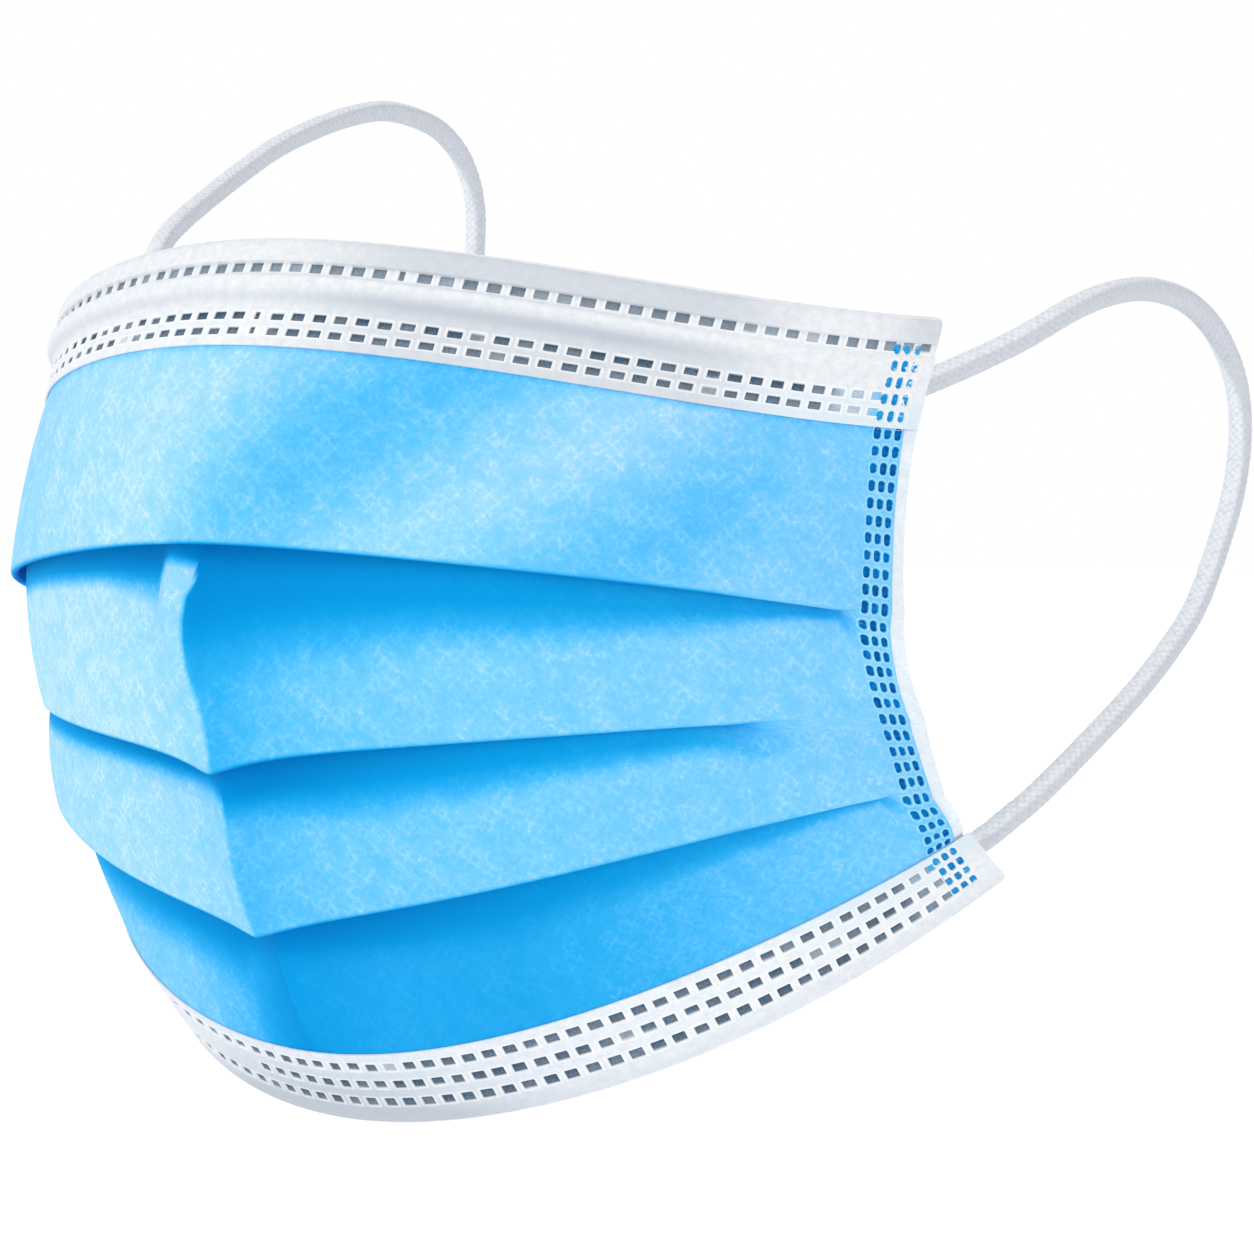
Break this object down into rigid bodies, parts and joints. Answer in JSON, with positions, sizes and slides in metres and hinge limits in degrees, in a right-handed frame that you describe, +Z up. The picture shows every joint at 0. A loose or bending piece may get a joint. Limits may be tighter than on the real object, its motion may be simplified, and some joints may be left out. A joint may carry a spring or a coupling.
{
  "type": "surgical face mask",
  "caption": "Pleated disposable surgical face mask in its worn shape, with a blue outer ply, white bindings, a bendable nose wire and round elastic ear loops.",
  "frame": {"origin": "the middle of the top edge, where the mask sits on the bridge of the nose", "axes": "+Y toward the wearer's face and ears, +X toward the wearer's left, +Z up the face toward the eyes"},
  "size_m": [0.1345, 0.1331, 0.1327],
  "materials": {
    "outer_ply": "soft blue spunbond nonwoven, matte",
    "inner_ply": "smooth white nonwoven, matte",
    "binding": "white spunbond nonwoven with grey ultrasonic weld dashes, matte",
    "nose_wire": "white plastic over a soft wire, matte",
    "ear_loop": "off-white knitted elastic cord"
  },
  "bodies": {
    "root": {"outer_ply": "outer_ply", "inner_ply": "inner_ply", "top_binding": "binding", "bottom_binding": "binding", "nose_wire": "nose_wire", "ear_loop_left": "ear_loop", "ear_loop_right": "ear_loop"}
  },
  "joints": []
}
